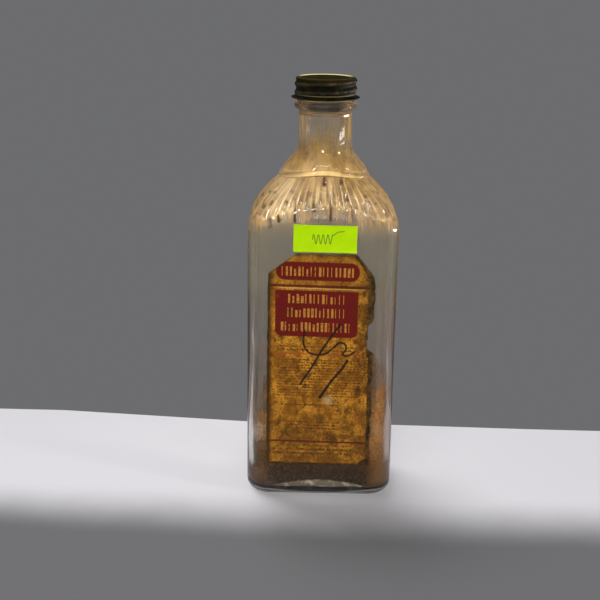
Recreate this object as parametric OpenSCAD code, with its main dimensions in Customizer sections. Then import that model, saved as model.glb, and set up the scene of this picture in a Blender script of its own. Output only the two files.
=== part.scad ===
// One-pint glass flask with a fluted shoulder and a threaded sheet-metal cap.
// The origin is the middle of the plane it stands on. +X runs across the front
// panel, -Y faces the reader of the label and +Z points up the neck.

/* [Body] */
// Width across the two narrow sides
body_w = 77.5; // [74:0.5:82]
// Depth from the front panel to the back panel
body_d = 50; // [46:0.5:54]
// Radius of the upright corners, seen from above
corner_r = 12.5; // [11:0.5:15]
// Radius of the heel between the base and the walls
heel_r = 6.5; // [3:0.5:7]
// Width of the flat band that the bottle stands on
foot_w = 3; // [2:0.5:4]
// Height of the hollow under the base
push_up = 2.2; // [1:0.1:3]
// Thickness of the walls
wall_t = 3; // [2.4:0.1:3.6]
// Height of the inner floor above the table
floor_z = 6.5; // [5:0.1:8]

/* [Shoulder] */
// Height where the narrow sides start to curve in
side_bend_z = 145; // [141:0.5:147]
// Height where the front and back panels start to curve in
front_bend_z = 147; // [145:0.5:149]
// How far the narrow sides have come in at the ring
side_inset = 16.8; // [16:0.1:18]
// How far the front panel has come in at the ring
front_inset = 8; // [6:0.5:9]
// Number of flutes round the shoulder
flutes = 52; // [40:4:56]
// Depth of a flute
flute_depth = 0.9; // [0.3:0.1:1.1]
// Height at which the flutes end in the middle of the front panel
flute_end_z = 157; // [154:0.5:160]
// Height of the raised ring at the narrow sides
ring_side_z = 171.2; // [170:0.2:172]
// Height of the raised ring in the middle of the front
ring_front_z = 174.4; // [173.6:0.2:175]
// How far the ring stands out
ring_out = 1.5; // [0.8:0.1:1.8]

/* [Neck] */
// Radius at the foot of the neck
neck_foot_r = 13.75; // [13.6:0.05:14]
// Radius at the top of the neck
neck_r = 13.5; // [13:0.1:13.6]
// Height where the neck runs out into its flare
flare_z = 186.5; // [185:0.5:189]
// Radius of the bore
bore_r = 11; // [10:0.1:11.4]
// Radius of the bead under the cap
bead_r = 15.9; // [15:0.1:16]
// Height of that bead
bead_z = 206.4; // [205.5:0.1:206.6]

/* [Finish] */
// Height of the lip
lip_z = 219.05; // [218.4:0.05:219.4]
// Radius between the threads
finish_r = 13.9; // [13.7:0.05:13.9]
// Height of the glass thread
thread_h = 0.95; // [0.6:0.05:0.95]
// Rise of the thread in one turn, at six threads to the inch
thread_pitch = 4.233; // [4:0.001:4.4]
// Number of turns of glass thread
thread_turns = 1.2; // [1:0.05:1.25]

/* [Cap] */
// Thickness of the sheet metal
sheet_t = 0.35; // [0.25:0.05:0.4]
// Outer radius in the valleys of the rolled thread
cap_r = 15; // [14.7:0.05:15]
// Height of the rolled thread
roll_h = 0.8; // [0.6:0.05:0.9]
// Outer radius of the band above the thread
band_r = 15.25; // [15.15:0.05:15.4]
// Radius of the top edge
cap_edge_r = 1; // [0.6:0.1:1.2]
// Outer radius of the flared rim
rim_r = 17.3; // [16.6:0.1:17.6]
// Height of the flared rim above the table
rim_z = 209.8; // [209.6:0.1:210]
// Radius of the liner discs
liner_r = 13.9; // [13.4:0.1:14.1]
// Thickness of the pulpboard disc
board_t = 0.6; // [0.5:0.05:1.1]
// Thickness of the waxed facing disc
facing_t = 0.15; // [0.1:0.05:0.3]

/* [Papers] */
// Width of the front label
label_w = 54.6; // [50:0.2:56]
// Height of its lower edge
label_low_z = 21; // [16:0.5:26]
// Height of its upper edge
label_top_z = 135; // [130:0.5:135.5]
// Thickness of the label
label_t = 0.15; // [0.1:0.05:0.3]
// Width of the price sticker
sticker_w = 32; // [28:0.5:36]
// Height of the price sticker
sticker_h = 14; // [12:0.5:14.5]
// Height of the sticker's middle
sticker_z = 143.5; // [142.5:0.1:144]
// Thickness of the sticker
sticker_t = 0.12; // [0.1:0.01:0.2]

/* [Residue] */
// Thickness of the dried deposit on the inner floor
residue_t = 1.2; // [0.4:0.1:2]

/* [Hidden] */

// Columns of facets: two to a flute, half as many above the ring and inside, and a
// plain number round the cap
COLUMNS = 2 * flutes;
ROUND_COLUMNS = flutes;
CAP_COLUMNS = 64;
// Steps of height down a threaded wall
THREAD_STEP = 0.6;

half_w = body_w / 2;
half_d = body_d / 2;
// Rise of the shoulder at the sides and at the front, and how sharply each starts:
// a higher power keeps the wall upright for longer
side_rise = ring_side_z - side_bend_z;
front_rise = ring_front_z - 0.6 - front_bend_z;
side_power = 1.75;
front_power = 2.2;
// Half width and half depth of the shoulder at the ring
ring_a = half_w - side_inset;
ring_b = half_d - front_inset;
facing_z = lip_z;
board_z = facing_z + facing_t;
ceiling_z = board_z + board_t;
cap_top_z = ceiling_z + sheet_t;
// Half the height of the bead under the cap
bead_half = 2.4;
// Half the height of the raised ring
ring_half = 1.3;
// Height of the thread's crest where it crosses the XZ plane on the +X side
thread_z0 = 210.3;
// The glass thread starts this far up its helix, in turns
thread_start = 0.45;
// Turns over which it fades in and out
thread_fade = 0.08;
// Half the axial width of the glass thread and of the groove rolled in the cap
thread_half = 1.45;
roll_half = 1.9;
roll_end_z = 218.6;

function clamp(x) = min(1, max(0, x));
function ease(x) = let (c = clamp(x)) c * c * (3 - 2 * c);

// The point a fraction u of the way round a rounded rectangle of half width a,
// half depth b and corner radius r, counter-clockwise from the middle of its +X side.
function outline(a, b, r, u) =
    let (
        quarter = floor(4 * u),
        part = 4 * u - quarter,
        rise = b - r,
        arc = r * PI / 2,
        s = (quarter % 2 == 0 ? part : 1 - part) * (rise + arc + a - r),
        turn = (s - rise) / r * 180 / PI,
        x = s < rise ? a : s < rise + arc ? a - r + r * cos(turn) : a - (s - rise - arc) - r,
        y = s < rise ? s : s < rise + arc ? rise + r * sin(turn) : b
    )
    [quarter == 0 || quarter == 3 ? x : -x, quarter < 2 ? y : -y];

// One bump of a helical thread, 0 to 1, at a distance d along the axis from its crest
function bump(d, half) = abs(d) < half ? pow(cos(90 * d / half), 2) : 0;

// Turns up the helix of the crest nearest to height z on the side that faces angle
function crest_turn(angle, z) = angle / 360 + round((z - thread_z0) / thread_pitch - angle / 360);

// Distance along the axis from height z to that crest
function off_crest(angle, z) = z - thread_z0 - thread_pitch * crest_turn(angle, z);

// Height of the glass thread's surface over its root. It fades out at both ends.
function glass_thread(angle, z) =
    let (
        turn = crest_turn(angle, z) - thread_start,
        share = ease(turn / thread_fade) * ease((thread_turns - turn) / thread_fade)
    )
    thread_h * share * bump(off_crest(angle, z), thread_half);

// Height of the rolled thread over its valley. It fades out under the plain band.
function cap_roll(angle, z) = roll_h * bump(off_crest(angle, z), roll_half) * ease(roll_end_z + 0.9 - z);

// How deep the flutes are cut at a point of the shoulder
function flute_cut(x, z) =
    let (
        low = flute_end_z - 7 * pow(min(abs(x), 28) / 28, 2),
        high = ring_side_z + (ring_front_z - ring_side_z) * clamp(1 - pow(x / ring_a, 2)) - 0.8
    )
    flute_depth * ease((z - low) / 4) * ease((high - z) / 2);

// A level is [height at the sides, height at the front, half width, half depth,
// corner radius, 1 where it is fluted, 1 where it is threaded].
// ring() turns a level into its closed ring of points.
function ring(level, columns) =
    [for (i = [0:columns - 1])
        let (
            u = i / columns,
            p = outline(level[2], level[3], level[4], u),
            front = p.y * p.y / (p.x * p.x + p.y * p.y),
            z = level[0] + (level[1] - level[0]) * front,
            cut = level[5] * (i % 2) * flute_cut(p.x, z) - level[6] * glass_thread(360 * u, z),
            q = outline(level[2] - cut, level[3] - cut, level[4] - cut, u)
        )
        [q.x, q.y, z]];

function round_level(r, z, threaded = 0) = [z, z, r, r, r, 0, threaded];

// The body's outline, moved in by an inset, at one height
function body_level(z, inset) = [z, z, half_w - inset, half_d - inset, corner_r - inset, 0, 0];

// The shoulder a share of the way up to the ring, for the outer skin (inset 0) or the
// inner one, which lies inset from it along its normal
function shoulder_level(share, inset, fluted) =
    let (
        side_slope = side_power * side_inset / side_rise * pow(share, side_power - 1),
        front_slope = front_power * front_inset / front_rise * pow(share, front_power - 1),
        side_n = inset / sqrt(1 + side_slope * side_slope),
        front_n = inset / sqrt(1 + front_slope * front_slope)
    )
    [
        side_bend_z + side_rise * share - side_n * side_slope,
        front_bend_z + front_rise * share - front_n * front_slope,
        half_w - side_inset * pow(share, side_power) - side_n,
        half_d - front_inset * pow(share, front_power) - front_n,
        corner_r - inset + (ring_b - corner_r) * ease(share) * 0.9,
        fluted,
        0
    ];

// A level of the flare between the neck and the ring: s is 0 at the neck and 1 at the ring
function flare_level(s, top_z, top_r, low_side_z, low_front_z, a, b) =
    let (
        spread = ease(s),
        depth = top_r + (b - top_r) * spread
    )
    [
        top_z + (low_side_z - top_z) * s,
        top_z + (low_front_z - top_z) * s,
        top_r + (a - top_r) * spread,
        depth,
        depth,
        0,
        0
    ];

// A level of the raised ring, round its half-circle section
function bead_ring_level(turn) =
    let (
        out = ring_out * cos(turn),
        up = ring_half * sin(turn)
    )
    [ring_side_z + up, ring_front_z + up, ring_a + out - 0.4 * sin(turn), ring_b + out, ring_b + out, 0, 0];

// Outer skin, from the hollow under the base up to the raised ring
LOWER = concat(
    [body_level(push_up * 0.7, heel_r + foot_w + 2), body_level(0, heel_r + foot_w)],
    [for (turn = [0:30:90]) body_level(heel_r * (1 - cos(turn)), heel_r * (1 - sin(turn)))],
    [for (k = [0:9]) shoulder_level(0.93 * k / 9, 0, 1)],
    [for (turn = [-80:40:80]) bead_ring_level(turn)]
);

// Outer skin, from the flare of the neck up to the lip
UPPER = concat(
    [for (s = [0.88, 0.72, 0.56, 0.4, 0.24, 0]) flare_level(s, flare_z, neck_foot_r,
        ring_side_z - 0.2, ring_front_z - 0.2, ring_a + 0.7, ring_b + 0.7)],
    [round_level(neck_r, bead_z - bead_half - 0.6)],
    [for (turn = [-70:35:70]) round_level(
        neck_r + (bead_r - neck_r) * cos(turn), bead_z + bead_half * sin(turn))],
    [for (z = [bead_z + bead_half + 0.6:THREAD_STEP:lip_z - 1.1]) round_level(finish_r, z, 1)],
    [round_level(finish_r - 0.3, lip_z - 0.3), round_level(finish_r - 0.9, lip_z)]
);

// Inner skin, from the lip down to the floor
INNER = concat(
    [
        round_level(bore_r + 0.9, lip_z),
        round_level(bore_r + 0.2, lip_z - 0.4),
        round_level(bore_r, lip_z - 1.2)
    ],
    [for (s = [0, 0.25, 0.5, 0.75]) flare_level(s, flare_z - 2, bore_r,
        ring_side_z - 2.6, ring_front_z - 3, ring_a - 1.5, ring_b - 2.5)],
    [for (k = [5:-1:0]) shoulder_level(k / 5, wall_t, 0)],
    [for (turn = [90:-30:0]) body_level(floor_z + (heel_r - 1) * (1 - cos(turn)),
        wall_t + (heel_r - 1) * (1 - sin(turn)))]
);

// Triangles between a ring of n points that starts at low and one of m that starts at
// high, where m is n or half of it
function wall(low, n, high, m) =
    [for (i = [0:m - 1])
        let (
            j = (i + 1) % m,
            a = low + i * n / m,
            b = low + i * n / m + 1,
            c = low + (2 * i + 2) % n
        )
        each n == m
            ? [[a, high + i, high + j], [a, high + j, low + j]]
            : [[a, high + i, b], [b, high + i, high + j], [b, high + j, c]]];

// Joins closed rings into one solid, with a point at each end
module skin(rings, first_tip, last_tip) {
    last = len(rings) - 1;
    starts = [for (k = 0, at = 1; k <= last; at = at + len(rings[k]), k = k + 1) at];
    points = concat([first_tip], [for (r = rings) each r], [last_tip]);
    n = len(rings[0]);
    m = len(rings[last]);
    first_fan = [for (i = [0:n - 1]) [0, 1 + i, 1 + (i + 1) % n]];
    walls = [for (k = [0:last - 1]) each wall(starts[k], len(rings[k]), starts[k + 1], len(rings[k + 1]))];
    last_fan = [for (i = [0:m - 1]) [len(points) - 1, starts[last] + (i + 1) % m, starts[last] + i]];
    polyhedron(points, concat(first_fan, walls, last_fan), convexity = 10);
}

// The cap's wall: outer radius at an angle and height, and a ring of it with the metal's
// thickness taken off for the inside
function cap_wall_r(angle, z) =
    let (
        band = ease((z - roll_end_z) / 0.8),
        flare = max(0, rim_z + 1.8 - z)
    )
    cap_r + (band_r - cap_r) * band + max(cap_roll(angle, z), flare * (rim_r - cap_r) / 1.8);

function cap_ring(z, thinner) =
    [for (i = [0:CAP_COLUMNS - 1])
        let (
            angle = 360 * i / CAP_COLUMNS,
            r = cap_wall_r(angle, z) - thinner
        )
        [r * cos(angle), r * sin(angle), z]];

function cap_round(r, z) =
    [for (i = [0:CAP_COLUMNS - 1])
        let (angle = 360 * i / CAP_COLUMNS)
        [r * cos(angle), r * sin(angle), z]];

module glass_bottle() {
    rings = concat(
        [for (level = LOWER) ring(level, COLUMNS)],
        [for (level = concat(UPPER, INNER)) ring(level, ROUND_COLUMNS)]
    );
    color("lightsteelblue")
        skin(rings, [0, 0, push_up], [0, 0, floor_z]);
}

module cap_shell() {
    low_z = rim_z + 0.4;
    high_z = cap_top_z - cap_edge_r;
    heights = [for (z = [low_z:THREAD_STEP:high_z - 0.2]) z];
    count = len(heights);
    inner_edge = cap_edge_r - sheet_t;
    inside = concat(
        [for (turn = [90:-45:0]) cap_round(
            band_r - sheet_t - inner_edge * (1 - cos(turn)),
            ceiling_z - inner_edge * (1 - sin(turn)))],
        [for (k = [count - 1:-1:0]) cap_ring(heights[k], sheet_t)]
    );
    outside = concat(
        [cap_round(rim_r - 0.3, rim_z), cap_round(rim_r, rim_z + 0.15)],
        [for (z = heights) cap_ring(z, 0)],
        [for (turn = [0:30:90]) cap_round(
            band_r - cap_edge_r * (1 - cos(turn)),
            cap_top_z - cap_edge_r * (1 - sin(turn)))]
    );
    color("darkolivegreen")
        skin(concat(inside, outside), [0, 0, ceiling_z], [0, 0, cap_top_z]);
}

module disc(z, thickness) {
    translate([0, 0, z])
        cylinder(r = liner_r, h = thickness, $fn = 72);
}

module liner_board() {
    color("tan")
        disc(board_z, board_t);
}

module liner_facing() {
    color("ivory")
        disc(facing_z, facing_t);
}

// Lays a flat outline, drawn with Y as height, on the front panel
module on_front(thickness) {
    translate([0, -half_d, 0])
        rotate([90, 0, 0])
            linear_extrude(height = thickness)
                children();
}

module front_label() {
    x = label_w / 2;
    top = label_top_z;
    low = label_low_z;
    color("goldenrod")
        on_front(label_t)
            polygon([
                [-x, low],
                [x - 3.2, low],
                [x - 1.2, low + 2.2],
                [x - 1.2, top - 56],
                [x - 3.6, top - 53],
                [x - 3.4, top - 40],
                [x, top - 37],
                [x, top - 15],
                [x - 2, top - 8.5],
                [x - 5.6, top - 3.4],
                [x - 11, top - 0.6],
                [-x + 14.6, top],
                [-x, top - 11]
            ]);
}

module price_sticker() {
    color("yellowgreen")
        on_front(sticker_t)
            translate([0.6, sticker_z])
                rotate([0, 0, -0.6])
                    square([sticker_w, sticker_h], center = true);
}

// The deposit covers the flat part of the inner floor
module dried_residue() {
    inset = wall_t + heel_r - 0.8;
    r = corner_r - inset;
    x = half_w - inset - r;
    y = half_d - inset - r;
    color("saddlebrown")
        translate([0, 0, floor_z])
            linear_extrude(height = residue_t)
                union() {
                    square([2 * (x + r), 2 * y], center = true);
                    square([2 * x, 2 * (y + r)], center = true);
                    for (sx = [-1, 1], sy = [-1, 1])
                        translate([sx * x, sy * y])
                            circle(r = r, $fn = 48);
                }
}

glass_bottle();
cap_shell();
liner_board();
liner_facing();
front_label();
price_sticker();
dried_residue();
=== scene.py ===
"""The looks of an old one-pint flask: fluted glass, a rolled metal cap, papers and dried residue."""
import math
from math import cos, hypot, pi, radians, sin, tau

import bpy
import numpy as np
from mathutils import Matrix, Vector


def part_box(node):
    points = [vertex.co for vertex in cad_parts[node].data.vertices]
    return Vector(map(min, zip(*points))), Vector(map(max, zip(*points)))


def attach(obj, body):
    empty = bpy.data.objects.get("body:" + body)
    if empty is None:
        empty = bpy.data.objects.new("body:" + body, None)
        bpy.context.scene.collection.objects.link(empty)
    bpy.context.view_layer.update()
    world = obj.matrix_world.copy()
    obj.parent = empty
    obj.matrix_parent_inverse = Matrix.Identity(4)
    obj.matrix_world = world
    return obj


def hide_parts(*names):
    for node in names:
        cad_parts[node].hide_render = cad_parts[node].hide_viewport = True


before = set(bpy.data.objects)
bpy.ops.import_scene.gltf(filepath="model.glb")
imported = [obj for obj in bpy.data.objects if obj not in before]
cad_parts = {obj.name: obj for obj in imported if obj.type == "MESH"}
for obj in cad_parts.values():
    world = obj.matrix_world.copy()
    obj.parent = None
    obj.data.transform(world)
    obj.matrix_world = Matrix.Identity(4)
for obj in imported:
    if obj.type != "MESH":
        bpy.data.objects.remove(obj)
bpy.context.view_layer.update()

MM = 0.001

# ---- sizes, in millimetres
_, (HALF_W, HALF_D, LIP_Z) = (np.array(corner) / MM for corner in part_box("glass_bottle"))
CAP_LOW, CAP_HIGH = (np.array(corner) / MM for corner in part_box("cap_shell"))
STICKER_LOW, STICKER_HIGH = (np.array(corner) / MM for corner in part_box("price_sticker"))
RIM_R, RIM_Z, CAP_TOP_Z = CAP_HIGH[0], CAP_LOW[2], CAP_HIGH[2]

# the body: radii of its corners and heel, width of the bearing edge, rise of the base inside it
CORNER_R = 12.5
HEEL_R = 6.5
INNER_HEEL_R = 5.5
FOOT_W = 3.0
PUSH_UP = 2.2
WALL_T = 3.0
FLOOR_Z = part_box("dried_residue")[0][2] / MM
# the inner floor bows up over the push-up: its edge lies this far below its middle
FLOOR_DIP = 2.4
FLOOR_EDGE_Z = FLOOR_Z - FLOOR_DIP
BOW_POWER = 2.6
# how far the dried film lies inside the glass, and the crust off it
FILM_GAP = 0.06

# the shoulder: where it starts at the sides and at the front, how far it comes in, and how it curves
SIDE_BEND_Z = 145.0
FRONT_BEND_Z = 147.0
SIDE_INSET = 16.8
FRONT_INSET = 8.0
SIDE_POWER = 1.75
FRONT_POWER = 2.2
FLUTES = 52
FLUTE_DEPTH = 0.9
FLUTE_END_Z = 157.0

# the raised ring, whose height differs between the sides and the front
RING_SIDE_Z = 171.2
RING_FRONT_Z = 174.4
RING_OUT = 1.5
RING_HALF = 1.3

# the neck, its bead and the threaded finish
NECK_FOOT_R = 13.75
NECK_R = 13.5
FLARE_Z = 186.5
BORE_R = 11.0
BEAD_R = 15.9
BEAD_Z = 206.4
BEAD_HALF = 2.4
FINISH_R = 13.9
THREAD_H = 0.95
THREAD_HALF = 1.45
PITCH = 4.233
THREAD_Z0 = 210.3
# where the thread starts, how far it runs and how quickly it fades, in turns
THREAD_START = 0.45
THREAD_TURNS = 1.2
THREAD_FADE = 0.08

# the cap: sheet metal with a rolled thread up to a plain band
SHEET_T = 0.35
CAP_R = 15.0
ROLL_H = 0.8
ROLL_HALF = 1.9
ROLL_END_Z = 218.6
BAND_R = 15.25
CAP_EDGE_R = 1.0
FLARE_H = 1.8
CURL_R = 0.3
PANEL_SINK = 0.14

SIDE_RISE = RING_SIDE_Z - SIDE_BEND_Z
FRONT_RISE = RING_FRONT_Z - 0.6 - FRONT_BEND_Z
RING_A = HALF_W - SIDE_INSET
RING_B = HALF_D - FRONT_INSET
COLUMNS = 6 * FLUTES
# the columns of points round the bottle, each a fraction of the way round
AROUND = np.arange(COLUMNS) / COLUMNS


def clamp(x):
    return np.clip(x, 0.0, 1.0)


def ease(x):
    """Goes smoothly from 0 to 1 as x does."""
    c = clamp(x)
    return c * c * (3 - 2 * c)


# ---- meshes from rings
def outline(a, b, r, u):
    """Points a fraction u of the way round a rounded rectangle, from the middle of its +X side."""
    quarter = np.floor(4 * u).astype(int) % 4
    part = 4 * u - np.floor(4 * u)
    rise, arc = b - r, r * pi / 2
    s = np.where(quarter % 2 == 0, part, 1 - part) * (rise + arc + a - r)
    turn = (s - rise) / r
    on_side, on_arc = s < rise, s < rise + arc
    x = np.where(on_side, a, np.where(on_arc, a - r + r * np.cos(turn), a - (s - rise - arc) - r))
    y = np.where(on_side, s, np.where(on_arc, rise + r * np.sin(turn), b))
    return np.where((quarter == 0) | (quarter == 3), x, -x), np.where(quarter < 2, y, -y)


def mesh_object(name, vertices, faces, material, smooth=True):
    mesh = bpy.data.meshes.new(name)
    mesh.from_pydata([tuple(v) for v in np.asarray(vertices) * MM], [], faces)
    mesh.validate()
    for polygon in mesh.polygons:
        polygon.use_smooth = smooth
    obj = bpy.data.objects.new(name, mesh)
    obj.data.materials.append(material)
    bpy.context.scene.collection.objects.link(obj)
    return obj


def skin(name, material, rings, first_tip, last_tip):
    """One mesh from closed rings of equal length, with a fan to each tip. first_tip may be None."""
    rings = np.asarray(rings)
    count, n, _ = rings.shape
    vertices = list(rings.reshape(-1, 3))
    faces = []
    for k in range(count - 1):
        low, high = k * n, (k + 1) * n
        for i in range(n):
            j = (i + 1) % n
            faces.append((low + i, low + j, high + j, high + i))
    if first_tip is not None:
        vertices.append(first_tip)
        tip = len(vertices) - 1
        faces += [(tip, (i + 1) % n, i) for i in range(n)]
    vertices.append(last_tip)
    tip, base = len(vertices) - 1, (count - 1) * n
    faces += [(tip, base + i, base + (i + 1) % n) for i in range(n)]
    return mesh_object(name, vertices, faces, material)


# ---- the bottle's levels
# A level is (height at the sides, height at the front, half width, half depth, corner radius).
def body_level(z, inset):
    return (z, z, HALF_W - inset, HALF_D - inset, CORNER_R - inset)


def round_level(r, z):
    return (z, z, r, r, r)


def shoulder_level(share, inset):
    """The shoulder a share of the way up to the ring, lying inset along its normal."""
    side_slope = SIDE_POWER * SIDE_INSET / SIDE_RISE * share ** (SIDE_POWER - 1)
    front_slope = FRONT_POWER * FRONT_INSET / FRONT_RISE * share ** (FRONT_POWER - 1)
    side_n = inset / hypot(1, side_slope)
    front_n = inset / hypot(1, front_slope)
    return (
        SIDE_BEND_Z + SIDE_RISE * share - side_n * side_slope,
        FRONT_BEND_Z + FRONT_RISE * share - front_n * front_slope,
        HALF_W - SIDE_INSET * share**SIDE_POWER - side_n,
        HALF_D - FRONT_INSET * share**FRONT_POWER - front_n,
        CORNER_R - inset + (RING_B - CORNER_R) * float(ease(share)) * 0.9,
    )


def flare_level(s, top_z, top_r, low_side_z, low_front_z, a, b):
    """The flare a share s of the way down from the round neck to its foot, a wide and b deep."""
    spread = float(ease(s))
    depth = top_r + (b - top_r) * spread
    return (
        top_z + (low_side_z - top_z) * s,
        top_z + (low_front_z - top_z) * s,
        top_r + (a - top_r) * spread,
        depth,
        depth,
    )


def ring_level(turn):
    out = RING_OUT * cos(turn)
    up = RING_HALF * sin(turn)
    depth = RING_B + out
    return (RING_SIDE_Z + up, RING_FRONT_Z + up, RING_A + out - 0.4 * sin(turn), depth, depth)


def off_crest(angle, z):
    """Distance along the axis from height z to the nearest crest of the thread, and its turn."""
    turn = angle / tau + np.round((z - THREAD_Z0) / PITCH - angle / tau)
    return z - THREAD_Z0 - PITCH * turn, turn


def bump(d, half):
    """A round crest 1 high, falling to 0 at half to either side."""
    return np.where(np.abs(d) < half, np.cos(pi / 2 * d / half) ** 2, 0.0)


def glass_thread(angle, z):
    d, turn = off_crest(angle, z)
    turn = turn - THREAD_START
    ends = ease(turn / THREAD_FADE) * ease((THREAD_TURNS - turn) / THREAD_FADE)
    return THREAD_H * bump(d, THREAD_HALF) * ends


def flute_cut(x, z, u, short=0.0):
    """Round-bottomed flutes with sharp ridges between them, each with a round lower end."""
    across = 2 * (FLUTES * u % 1.0) - 1
    low = FLUTE_END_Z - 7 * (np.minimum(np.abs(x), 28) / 28) ** 2 + 1.6 * across**2
    high = RING_SIDE_Z + (RING_FRONT_Z - RING_SIDE_Z) * clamp(1 - (x / RING_A) ** 2) - 0.8 - short
    return FLUTE_DEPTH * (1 - across**2) * ease((z - low) / 2.6) * ease((high - z) / 2)


def level_ring(level, cut=None):
    """The closed ring of points of a level. cut(x, z, u) moves the wall in."""
    z_side, z_front, a, b, r = level
    x, y = outline(a, b, r, AROUND)
    front = y * y / (x * x + y * y)
    z = z_side + (z_front - z_side) * front
    if cut is None:
        return np.stack([x, y, z], axis=1)
    inward = cut(x, z, AROUND)
    # a rounded rectangle moved in by a distance is one with smaller sides and radius
    x1, y1 = outline(a - 1.0, b - 1.0, r - 1.0, AROUND)
    return np.stack([x + (x1 - x) * inward, y + (y1 - y) * inward, z], axis=1)


def steps(low, high, count):
    return [low + (high - low) * k / (count - 1) for k in range(count)]


def ripple(x, y, z, size, seed):
    """A soft wave between about -1 and 1 with swells about size apart."""
    rng = np.random.default_rng(seed)
    total = 0.0
    for _ in range(6):
        heading = rng.normal(size=3)
        heading *= tau / (size * rng.uniform(0.8, 1.8) * np.linalg.norm(heading))
        phase = rng.uniform(0, tau)
        total = total + np.sin(heading[0] * x + heading[1] * y + heading[2] * z + phase)
    return total / 2.6


# ---- the bottle's glass
def outer_wave(x, z, u):
    """Slight unevenness of the outside, none of it on the front panel, where the papers lie."""
    x0, y0 = outline(HALF_W, HALF_D, CORNER_R, u)
    return 0.05 * ripple(x0, y0, z, 30, 3) * clamp((y0 + 24) / 6)


def inner_wave(x, z, u):
    """Unevenness of the inside, fading out at the floor and the lip."""
    x0, y0 = outline(HALF_W, HALF_D, CORNER_R, u)
    low = clamp((z - FLOOR_Z - 2) / 15) * clamp((LIP_Z - 6 - z) / 12)
    return (0.3 * ripple(x0, y0, z, 38, 4) + 0.07 * ripple(x0, y0, z * 0.4, 9, 5)) * low


def base_levels():
    """The underside: the push-up, the bearing edge and the round of the heel."""
    a, b, r = (side - HEEL_R - FOOT_W for side in (HALF_W, HALF_D, CORNER_R))
    for s in (0.04, 0.2, 0.36, 0.52, 0.66, 0.78, 0.87, 0.93, 0.97, 0.99, 1.0):
        z = PUSH_UP * (1 - s**BOW_POWER)
        yield (z, z, a * s, b * s, r * s)
    for turn in steps(0, pi / 2, 9):
        yield body_level(HEEL_R * (1 - cos(turn)), HEEL_R * (1 - sin(turn)))


def wall_levels(low, inset, shares):
    """The body's straight wall between height low and the shoulder."""
    for f in shares:
        z_side = low + (SIDE_BEND_Z - low) * f
        z_front = low + (FRONT_BEND_Z - low) * f
        yield (z_side, z_front, HALF_W - inset, HALF_D - inset, CORNER_R - inset)


def neck_levels():
    """From the ring up the flare and the neck, and round the bead."""
    for s in steps(0.9, 0, 24):
        yield flare_level(s, FLARE_Z, NECK_FOOT_R, RING_SIDE_Z - 0.2, RING_FRONT_Z - 0.2,
                          RING_A + 0.7, RING_B + 0.7)
    for f in steps(0.15, 0.97, 6):
        z = FLARE_Z + (BEAD_Z - BEAD_HALF - 0.4 - FLARE_Z) * f
        yield round_level(NECK_FOOT_R + (NECK_R - NECK_FOOT_R) * f, z)
    for turn in steps(-80, 80, 15):
        turn = radians(turn)
        r = NECK_R + (BEAD_R - NECK_R) * cos(turn)
        yield round_level(r, BEAD_Z + BEAD_HALF * sin(turn))


def thread_cut(x, z, u):
    return -glass_thread(tau * u, z)


def outer_rings():
    rings = [level_ring(level) for level in base_levels()]
    rings += [level_ring(level, outer_wave) for level in wall_levels(HEEL_R, 0, steps(0.03, 0.985, 40))]
    rings += [level_ring(shoulder_level(share, 0), flute_cut) for share in steps(0, 0.93, 66)]
    rings += [level_ring(ring_level(radians(turn))) for turn in steps(-80, 80, 11)]
    rings += [level_ring(level) for level in neck_levels()]
    for z in steps(BEAD_Z + BEAD_HALF + 0.5, LIP_Z - 1.1, 36):
        rings.append(level_ring(round_level(FINISH_R, z), thread_cut))
    for r, z in ((0.1, 0.6), (0.3, 0.3), (0.6, 0.1), (0.9, 0.0)):
        rings.append(level_ring(round_level(FINISH_R - r, LIP_Z - z)))
    return rings


def inner_levels():
    """The inside from the lip down to the edge of the floor."""
    for r, z in ((0.9, 0.0), (0.5, 0.15), (0.2, 0.5), (0.05, 0.9), (0.0, 1.4)):
        yield round_level(BORE_R + r, LIP_Z - z)
    for f in steps(0.1, 0.95, 14):
        yield round_level(BORE_R, LIP_Z - 1.4 + (FLARE_Z - 2 - LIP_Z + 1.4) * f)
    for s in steps(0, 0.8, 18):
        yield flare_level(s, FLARE_Z - 2, BORE_R, RING_SIDE_Z - 2.6, RING_FRONT_Z - 3,
                          RING_A - 1.5, RING_B - 2.5)
    for share in steps(1, 0, 44):
        yield shoulder_level(share, WALL_T)
    yield from wall_levels(FLOOR_EDGE_Z + INNER_HEEL_R, WALL_T, steps(0.98, 0.02, 48))
    for turn in steps(pi / 2, 0, 8):
        z = FLOOR_EDGE_Z + INNER_HEEL_R * (1 - cos(turn))
        yield body_level(z, WALL_T + INNER_HEEL_R * (1 - sin(turn)))


def inner_rings(inset=0.0):
    """The inside wall from the lip down to the floor, or a skin lying inset within it."""
    def wall(x, z, u):
        return inner_wave(x, z, u) + 0.55 * flute_cut(x, z, u, short=3.5) + inset
    return [level_ring(level, wall) for level in inner_levels()]


def floor_level(share, rise=0.0):
    """A level of the inner floor, a share of the way out to its edge, or of a skin rise above it."""
    a, b, r = (side - WALL_T - INNER_HEEL_R for side in (HALF_W, HALF_D, CORNER_R))
    z = FLOOR_Z - FLOOR_DIP * share**BOW_POWER + rise
    return (z, z, a * share, b * share, r * share)


def floor_rings(rise=0.0):
    shares = (0.97, 0.92, 0.84, 0.74, 0.62, 0.5, 0.35, 0.15, 0.04)
    return [level_ring(floor_level(share, rise)) for share in shares]


def make_glass():
    rings = outer_rings() + inner_rings() + floor_rings()
    glass = skin("bottle_glass", glass_material(), rings, (0, 0, PUSH_UP), (0, 0, FLOOR_Z))
    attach(glass, "bottle")
    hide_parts("glass_bottle")


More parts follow.
